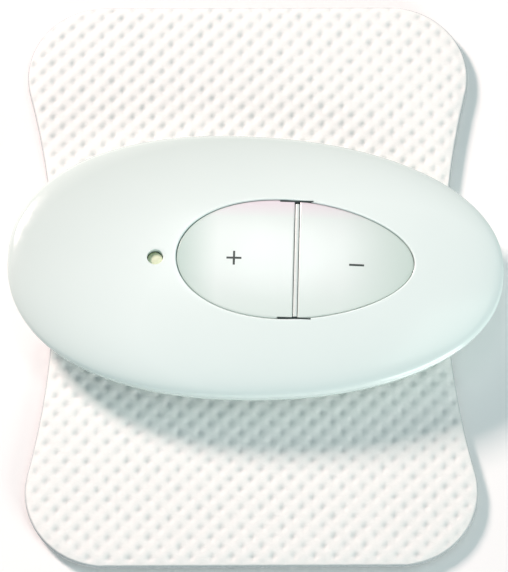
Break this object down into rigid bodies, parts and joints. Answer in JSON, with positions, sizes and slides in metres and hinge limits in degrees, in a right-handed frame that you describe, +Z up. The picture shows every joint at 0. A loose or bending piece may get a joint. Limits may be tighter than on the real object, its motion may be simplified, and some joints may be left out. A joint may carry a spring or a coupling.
{
  "type": "wireless tens unit",
  "caption": "Oval nerve-stimulator pod with a split oval key area, snapped onto an hourglass electrode pad with an embossed cloth face.",
  "frame": {"origin": "bottom centre of the whole object, on the skin side of the release liner", "axes": "+X along the pod, with the indicator light at -X; +Y along the pad; +Z up, away from the skin"},
  "size_m": [0.0884, 0.1106, 0.0125],
  "materials": {
    "nonwoven_cloth": "soft white nonwoven cloth with embossed dots",
    "carbon_film": "matte black conductive film",
    "hydrogel": "clear tacky gel",
    "liner_film": "clear glossy film",
    "snap_nickel": "polished nickel plate",
    "housing_white": "glossy white with a faint cool tint",
    "bar_white": "glossy white",
    "key_pearl": "satin pearl white",
    "cover_white": "satin white",
    "light_lens": "clear pale yellow-green lens",
    "board_green": "green solder mask",
    "chip_black": "black moulded epoxy",
    "ferrite_grey": "dark grey sintered ferrite",
    "capacitor_yellow": "yellow moulded case",
    "can_steel": "thin bright steel",
    "cell_steel": "bright nickel-plated steel can",
    "contact_bronze": "bare spring bronze",
    "switch_black": "black moulded plastic",
    "lead_black": "black insulation",
    "lead_red": "red insulation",
    "screw_steel": "zinc-plated steel"
  },
  "bodies": {
    "pad": {"backing_cloth": "nonwoven_cloth", "left_carbon_film": "carbon_film", "right_carbon_film": "carbon_film", "left_hydrogel": "hydrogel", "right_hydrogel": "hydrogel", "release_liner": "liner_film", "left_snap_stud": "snap_nickel", "right_snap_stud": "snap_nickel", "left_stud_eyelet": "snap_nickel", "right_stud_eyelet": "snap_nickel"},
    "pod": {"top_shell": "housing_white", "bottom_shell": "housing_white", "button_bar": "bar_white", "indicator_led": "light_lens", "circuit_board": "board_green", "microcontroller": "chip_black", "output_driver": "chip_black", "boost_inductor": "ferrite_grey", "storage_capacitor": "capacitor_yellow", "clock_crystal": "can_steel", "coin_cell": "cell_steel", "battery_contact_positive": "contact_bronze", "battery_contact_negative": "contact_bronze", "up_switch_base": "switch_black", "down_switch_base": "switch_black", "up_switch_cover": "can_steel", "down_switch_cover": "can_steel", "up_switch_dome": "can_steel", "down_switch_dome": "can_steel", "left_snap_socket": "snap_nickel", "right_snap_socket": "snap_nickel", "left_ring_spring": "can_steel", "right_ring_spring": "can_steel", "left_output_lead": "lead_black", "right_output_lead": "lead_red", "case_screw_1": "screw_steel", "case_screw_2": "screw_steel", "case_screw_3": "screw_steel", "case_screw_4": "screw_steel"},
    "up_key": {"up_button": "key_pearl"},
    "down_key": {"down_button": "key_pearl"},
    "up_plunger": {"up_switch_plunger": "switch_black"},
    "down_plunger": {"down_switch_plunger": "switch_black"},
    "battery_door": {"battery_cover": "cover_white"}
  },
  "joints": [
    {"name": "pod_lift", "type": "slide", "parent": "pad", "child": "pod", "axis": [0, 0, 1], "range_m": [0, 0.03]},
    {"name": "up_key_press", "type": "hinge", "parent": "pod", "child": "up_key", "pos_m": [0.00575, 0, 0.00995], "axis": [0, -1, 0], "range_deg": [0, 1.4], "stiffness_Nm_per_rad": 0.5, "springref_deg": -0.57},
    {"name": "down_key_press", "type": "hinge", "parent": "pod", "child": "down_key", "pos_m": [0.00895, 0, 0.00995], "axis": [0, 1, 0], "range_deg": [0, 1.4], "stiffness_Nm_per_rad": 0.5, "springref_deg": -0.57},
    {"name": "up_plunger_press", "type": "slide", "parent": "pod", "child": "up_plunger", "axis": [0, 0, -1], "range_m": [0, 0.0003], "deforming": ["up_switch_dome"]},
    {"name": "down_plunger_press", "type": "slide", "parent": "pod", "child": "down_plunger", "axis": [0, 0, -1], "range_m": [0, 0.0003], "deforming": ["down_switch_dome"]},
    {"name": "battery_cover_turn", "type": "hinge", "parent": "pod", "child": "battery_door", "pos_m": [0, 0, 0.003], "axis": [0, 0, -1], "range_deg": [0, 45]}
  ],
  "couplings": [
    {"joint": "up_plunger_press", "follows": "up_key_press", "m_per_rad": 0.012},
    {"joint": "down_plunger_press", "follows": "down_key_press", "m_per_rad": 0.012}
  ]
}
